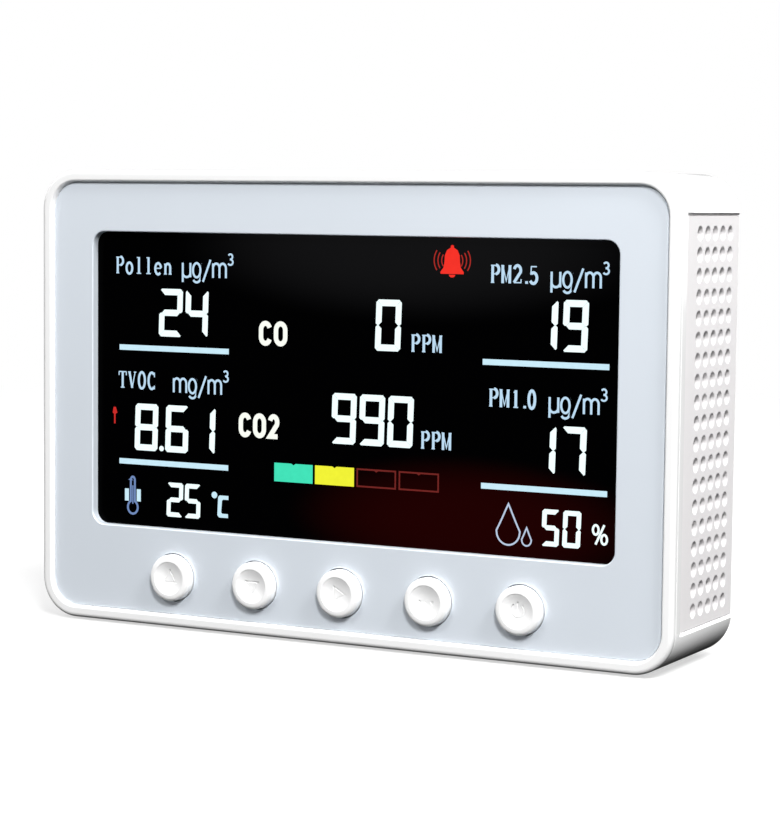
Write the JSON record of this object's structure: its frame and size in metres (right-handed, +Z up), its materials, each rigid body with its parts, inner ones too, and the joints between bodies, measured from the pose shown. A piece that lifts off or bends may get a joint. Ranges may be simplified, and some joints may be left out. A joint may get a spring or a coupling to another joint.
{
  "type": "air quality monitor",
  "caption": "Desktop air quality monitor with a black segment display, dished buttons, perforated side grilles and rear wall hooks.",
  "frame": {"origin": "centre of the footprint, on the surface it stands on", "axes": "+X to the right seen from the front, +Y from the display to the back, +Z up"},
  "size_m": [0.157, 0.036, 0.1036],
  "materials": {
    "case_plastic": "glossy moulded plastic",
    "grille_plastic": "fine matt moulded plastic",
    "panel_coat": "satin silver-blue paint on plastic",
    "button_plastic": "satin moulded plastic",
    "screw_steel": "zinc-plated steel",
    "foot_rubber": "matt moulded rubber",
    "display_black": "glossy black film",
    "display_glass": "clear",
    "gasket_foam": "matt foam",
    "backlight_film": "milky film",
    "light_guide": "clear acrylic",
    "led_flex": "flexible circuit with white light-emitting diodes",
    "white_inner": "matt moulded plastic",
    "pin_metal": "tinned metal",
    "board_green": "solder mask on glass-fibre board",
    "black_plastic": "matt moulded plastic",
    "capacitor_sleeve": "shrink sleeve",
    "sensor_case": "anodised look, moulded",
    "gold_metal": "gold-plated sheet",
    "rotor_plastic": "matt moulded plastic",
    "cell_foil": "laminated foil pouch",
    "lead_red": "soft insulation",
    "lead_gray": "soft insulation"
  },
  "bodies": {
    "case": {"front_frame": "case_plastic", "front_panel": "panel_coat", "rear_housing": "case_plastic", "side_grille_left": "grille_plastic", "side_grille_right": "grille_plastic", "case_screws": "screw_steel", "rubber_feet": "foot_rubber", "display_gasket": "gasket_foam", "lcd_front_polarizer": "display_black", "lcd_front_glass": "display_glass", "lcd_rear_glass": "display_glass", "lcd_rear_polarizer": "display_black", "backlight_diffuser": "backlight_film", "backlight_light_guide": "light_guide", "backlight_reflector": "backlight_film", "backlight_led_strip": "led_flex", "lcd_holder": "white_inner", "lcd_pins": "pin_metal", "main_board": "board_green", "main_board_screws": "screw_steel", "microcontroller": "black_plastic", "microcontroller_legs": "pin_metal", "board_capacitors": "capacitor_sleeve", "board_connectors": "white_inner", "buzzer": "black_plastic", "switch_housings": "black_plastic", "dust_sensor_tray": "sensor_case", "dust_sensor_lid": "sensor_case", "dust_sensor_board": "board_green", "dust_sensor_laser": "gold_metal", "dust_fan_frame": "black_plastic", "co2_sensor_board": "board_green", "co2_sensor_housing": "gold_metal", "co2_sensor_filters": "white_inner", "co_sensor_can": "pin_metal", "co_sensor_cap": "white_inner", "tvoc_sensor": "pin_metal", "climate_sensor": "black_plastic", "battery_cell": "cell_foil", "battery_tape": "gasket_foam", "battery_lead": "lead_red", "dust_sensor_lead": "lead_gray", "charge_lead": "lead_red", "charge_board": "board_green", "usb_c_shell": "pin_metal", "usb_c_tongue": "black_plastic", "charge_board_screws": "screw_steel"},
    "button_up": {"button_cap_up": "button_plastic"},
    "plunger_up": {"switch_plunger_up": "black_plastic"},
    "button_down": {"button_cap_down": "button_plastic"},
    "plunger_down": {"switch_plunger_down": "black_plastic"},
    "button_next": {"button_cap_next": "button_plastic"},
    "plunger_next": {"switch_plunger_next": "black_plastic"},
    "button_menu": {"button_cap_menu": "button_plastic"},
    "plunger_menu": {"switch_plunger_menu": "black_plastic"},
    "button_power": {"button_cap_power": "button_plastic"},
    "plunger_power": {"switch_plunger_power": "black_plastic"},
    "fan_rotor": {"dust_fan_rotor": "rotor_plastic"}
  },
  "joints": [
    {"name": "press_up", "type": "slide", "parent": "case", "child": "button_up", "axis": [0, 1, 0], "range_m": [0, 0.0003], "stiffness_N_per_m": 1200, "springref_m": -0.0002},
    {"name": "switch_up", "type": "slide", "parent": "case", "child": "plunger_up", "axis": [0, 1, 0], "range_m": [0, 0.0003]},
    {"name": "press_down", "type": "slide", "parent": "case", "child": "button_down", "axis": [0, 1, 0], "range_m": [0, 0.0003], "stiffness_N_per_m": 1200, "springref_m": -0.0002},
    {"name": "switch_down", "type": "slide", "parent": "case", "child": "plunger_down", "axis": [0, 1, 0], "range_m": [0, 0.0003]},
    {"name": "press_next", "type": "slide", "parent": "case", "child": "button_next", "axis": [0, 1, 0], "range_m": [0, 0.0003], "stiffness_N_per_m": 1200, "springref_m": -0.0002},
    {"name": "switch_next", "type": "slide", "parent": "case", "child": "plunger_next", "axis": [0, 1, 0], "range_m": [0, 0.0003]},
    {"name": "press_menu", "type": "slide", "parent": "case", "child": "button_menu", "axis": [0, 1, 0], "range_m": [0, 0.0003], "stiffness_N_per_m": 1200, "springref_m": -0.0002},
    {"name": "switch_menu", "type": "slide", "parent": "case", "child": "plunger_menu", "axis": [0, 1, 0], "range_m": [0, 0.0003]},
    {"name": "press_power", "type": "slide", "parent": "case", "child": "button_power", "axis": [0, 1, 0], "range_m": [0, 0.0003], "stiffness_N_per_m": 1200, "springref_m": -0.0002},
    {"name": "switch_power", "type": "slide", "parent": "case", "child": "plunger_power", "axis": [0, 1, 0], "range_m": [0, 0.0003]},
    {"name": "fan_spin", "type": "hinge", "parent": "case", "child": "fan_rotor", "pos_m": [0.0558, 0.004, 0.0803], "axis": [0, 1, 0], "continuous": true}
  ],
  "couplings": [
    {"joint": "switch_up", "follows": "press_up", "ratio": 1},
    {"joint": "switch_down", "follows": "press_down", "ratio": 1},
    {"joint": "switch_next", "follows": "press_next", "ratio": 1},
    {"joint": "switch_menu", "follows": "press_menu", "ratio": 1},
    {"joint": "switch_power", "follows": "press_power", "ratio": 1}
  ]
}
